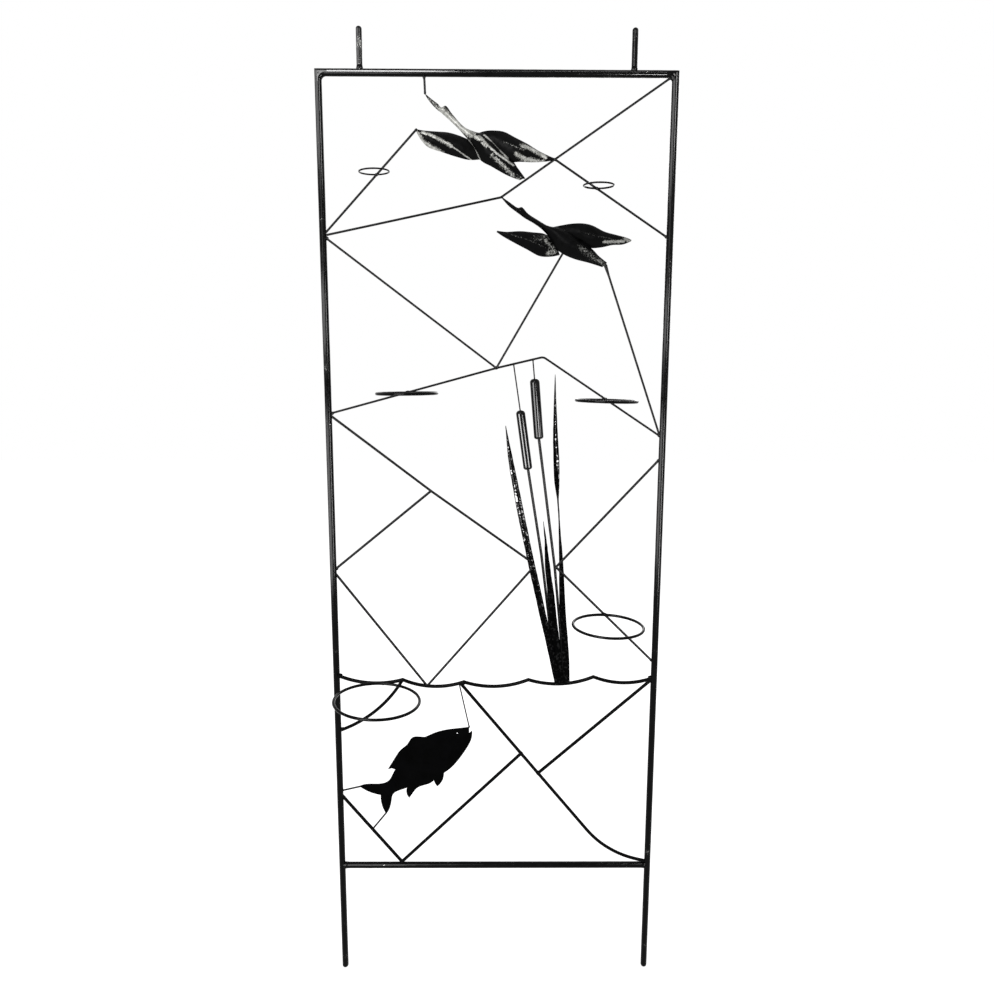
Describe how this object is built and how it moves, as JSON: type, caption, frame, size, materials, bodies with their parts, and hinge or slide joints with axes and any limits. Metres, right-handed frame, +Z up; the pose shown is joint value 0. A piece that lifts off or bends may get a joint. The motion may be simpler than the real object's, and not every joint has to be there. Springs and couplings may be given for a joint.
{
  "type": "metal garden screen",
  "caption": "Tall open metal garden screen on two stakes, with wire birds, fish and reeds welded in a frame and hoops at several heights that hold pots and candle cups.",
  "frame": {"origin": "midway between the two stakes' axes at the ground line, 60 mm below the bottom rail's axis", "axes": "+Z up along the posts, +X to the right across the panel, +Y away from the side with the pot rings"},
  "size_m": [0.63, 0.17, 1.799],
  "materials": {
    "frame_paint": "gloss black paint over hammered round bar, with worn glints",
    "prong_paint": "gloss black paint, rubbed lighter",
    "rod_paint": "gloss black paint over round rod",
    "net_paint": "satin black paint over thin rod and wire",
    "ring_paint": "gloss black paint over bent wire",
    "cattail_gloss": "high gloss black paint",
    "hammered_blade": "gloss black paint over hammered steel leaf",
    "fish_paint": "flat black paint on plate",
    "upper_bird_paint": "black paint on beaten sheet, rubbed back to silver grey on the neck and edges",
    "lower_bird_paint": "satin black paint on beaten sheet"
  },
  "bodies": {
    "root": {"left_post": "frame_paint", "right_post": "frame_paint", "top_rail": "frame_paint", "bottom_rail": "frame_paint", "left_prong": "prong_paint", "right_prong": "prong_paint", "wave_rail": "rod_paint", "shore_rod": "rod_paint", "long_diagonal": "rod_paint", "right_diagonal": "rod_paint", "left_corner_rod": "rod_paint", "rising_rod": "rod_paint", "ridge_rod": "net_paint", "cloud_rod": "net_paint", "valley_rod": "net_paint", "left_wing_rod": "net_paint", "right_wing_rod": "net_paint", "beak_rod": "net_paint", "belly_rod": "net_paint", "tail_rod": "net_paint", "left_slope_rod": "net_paint", "kite_upper_rod": "net_paint", "kite_lower_rod": "net_paint", "kite_rise_rod": "net_paint", "left_cattail_head": "cattail_gloss", "left_tip_wire": "net_paint", "right_cattail_head": "cattail_gloss", "right_tip_wire": "net_paint", "right_stem": "net_paint", "left_stem": "net_paint", "right_v_rod": "net_paint", "left_blade": "hammered_blade", "middle_blade": "hammered_blade", "right_blade": "hammered_blade", "fish_plate": "fish_paint", "fish_mouth_wire": "net_paint", "fish_tail_wire_upper": "net_paint", "fish_tail_wire_lower": "net_paint", "upper_bird_body": "upper_bird_paint", "upper_bird_left_wing": "upper_bird_paint", "upper_bird_right_wing": "upper_bird_paint", "lower_bird_body": "lower_bird_paint", "lower_bird_left_wing": "lower_bird_paint", "lower_bird_right_wing": "lower_bird_paint", "candle_ring_left": "ring_paint", "candle_ring_right": "ring_paint", "pot_ring_mid_left": "ring_paint", "pot_ring_mid_right": "ring_paint", "pot_ring_low_right": "ring_paint", "pot_ring_low_left": "ring_paint", "left_rail_weld": "frame_paint", "right_rail_weld": "frame_paint", "left_prong_weld": "frame_paint", "right_prong_weld": "frame_paint", "rod_welds": "rod_paint", "net_welds": "net_paint", "ring_welds": "ring_paint"}
  },
  "joints": []
}
